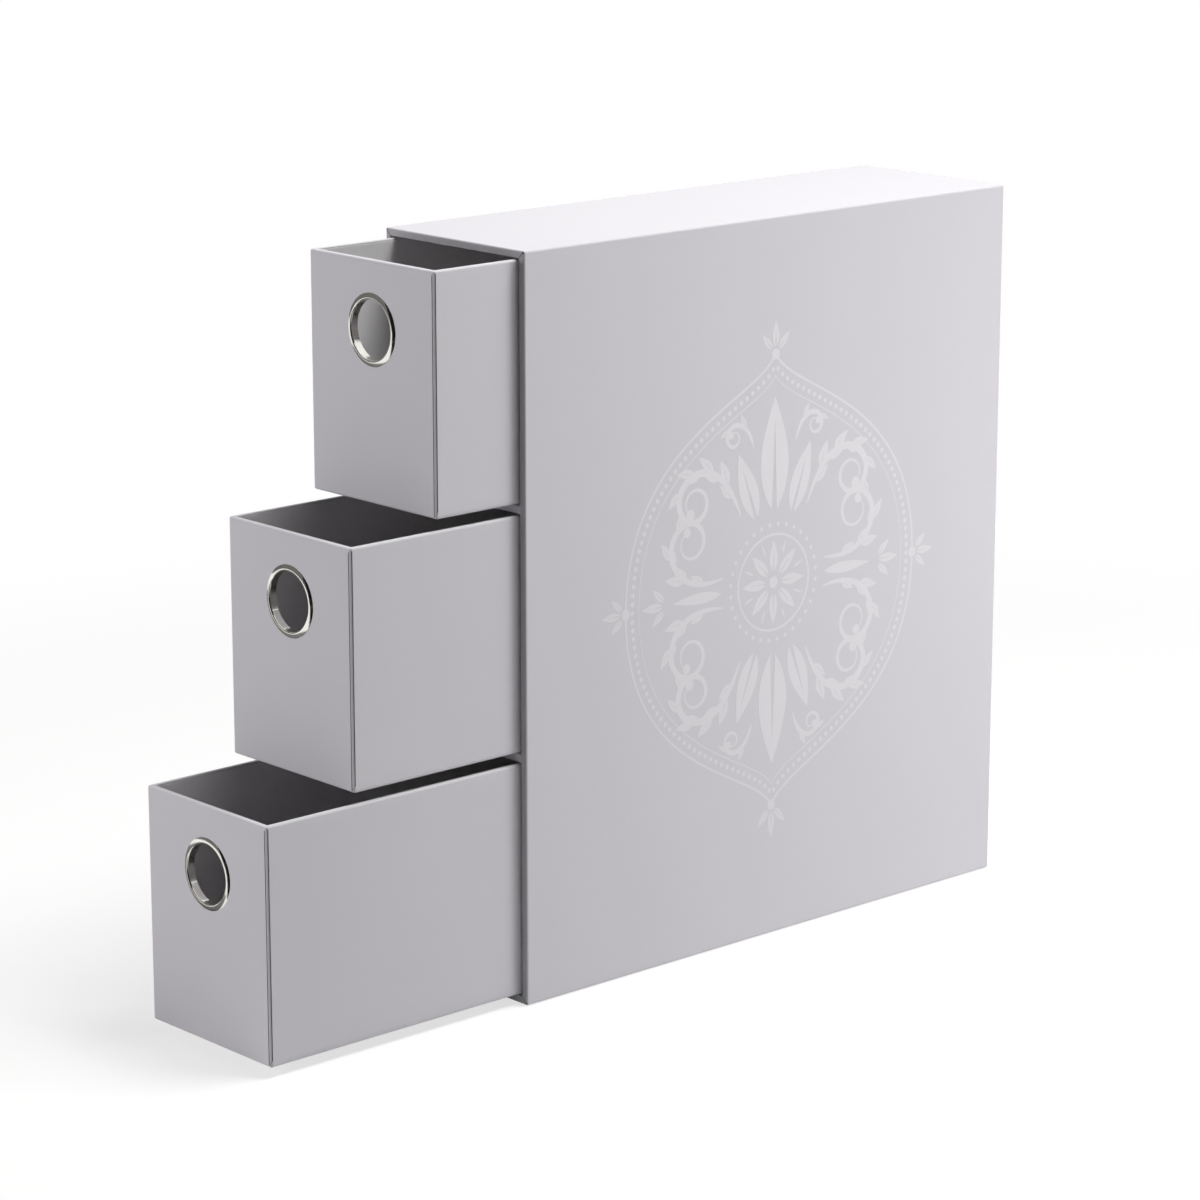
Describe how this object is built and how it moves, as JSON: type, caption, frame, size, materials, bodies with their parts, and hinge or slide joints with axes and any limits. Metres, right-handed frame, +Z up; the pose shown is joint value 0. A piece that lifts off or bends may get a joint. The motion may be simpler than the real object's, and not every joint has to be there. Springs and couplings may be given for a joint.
{
  "type": "trading card drawer box",
  "caption": "Upright slim slipcase of paper-wrapped board with open card drawers stacked one above another, each pulled out by a metal finger ring.",
  "frame": {"origin": "centre of the underside of the casing, on the face that rests on the table", "axes": "+X towards the broad printed side, -Y out of the mouth, the way the drawers pull, +Z up"},
  "size_m": [0.0874, 0.4185, 0.32],
  "materials": {
    "lilac_paper": "matt wrapping paper with a fine tooth",
    "dark_lining": "smooth matt dark lining",
    "greyboard": "raw recycled board",
    "nickel": "bright nickel plating"
  },
  "bodies": {
    "casing": {"right_side_board": "greyboard", "left_side_board": "greyboard", "base_board": "greyboard", "top_board": "greyboard", "back_board": "greyboard", "casing_wrap": "lilac_paper", "base_sheet": "lilac_paper", "lower_shelf_board": "greyboard", "lower_shelf_edging": "lilac_paper", "upper_shelf_board": "greyboard", "upper_shelf_edging": "lilac_paper", "bottom_bay_liner": "dark_lining", "middle_bay_liner": "dark_lining", "top_bay_liner": "dark_lining"},
    "bottom_drawer": {"bottom_drawer_front_board": "greyboard", "bottom_drawer_right_board": "greyboard", "bottom_drawer_rear_board": "greyboard", "bottom_drawer_left_board": "greyboard", "bottom_drawer_floor_board": "greyboard", "bottom_drawer_wrap": "lilac_paper", "bottom_drawer_corner_strips": "lilac_paper", "bottom_drawer_liner": "dark_lining", "bottom_drawer_finger_ring": "nickel"},
    "middle_drawer": {"middle_drawer_front_board": "greyboard", "middle_drawer_right_board": "greyboard", "middle_drawer_rear_board": "greyboard", "middle_drawer_left_board": "greyboard", "middle_drawer_floor_board": "greyboard", "middle_drawer_wrap": "lilac_paper", "middle_drawer_corner_strips": "lilac_paper", "middle_drawer_liner": "dark_lining", "middle_drawer_finger_ring": "nickel"},
    "top_drawer": {"top_drawer_front_board": "greyboard", "top_drawer_right_board": "greyboard", "top_drawer_rear_board": "greyboard", "top_drawer_left_board": "greyboard", "top_drawer_floor_board": "greyboard", "top_drawer_wrap": "lilac_paper", "top_drawer_corner_strips": "lilac_paper", "top_drawer_liner": "dark_lining", "top_drawer_finger_ring": "nickel"}
  },
  "joints": [
    {"name": "bottom_drawer_slide", "type": "slide", "parent": "casing", "child": "bottom_drawer", "axis": [0, -1, 0], "range_m": [-0.1322, 0.159]},
    {"name": "middle_drawer_slide", "type": "slide", "parent": "casing", "child": "middle_drawer", "axis": [0, -1, 0], "range_m": [-0.0879, 0.2033]},
    {"name": "top_drawer_slide", "type": "slide", "parent": "casing", "child": "top_drawer", "axis": [0, -1, 0], "range_m": [-0.0436, 0.2476]}
  ]
}
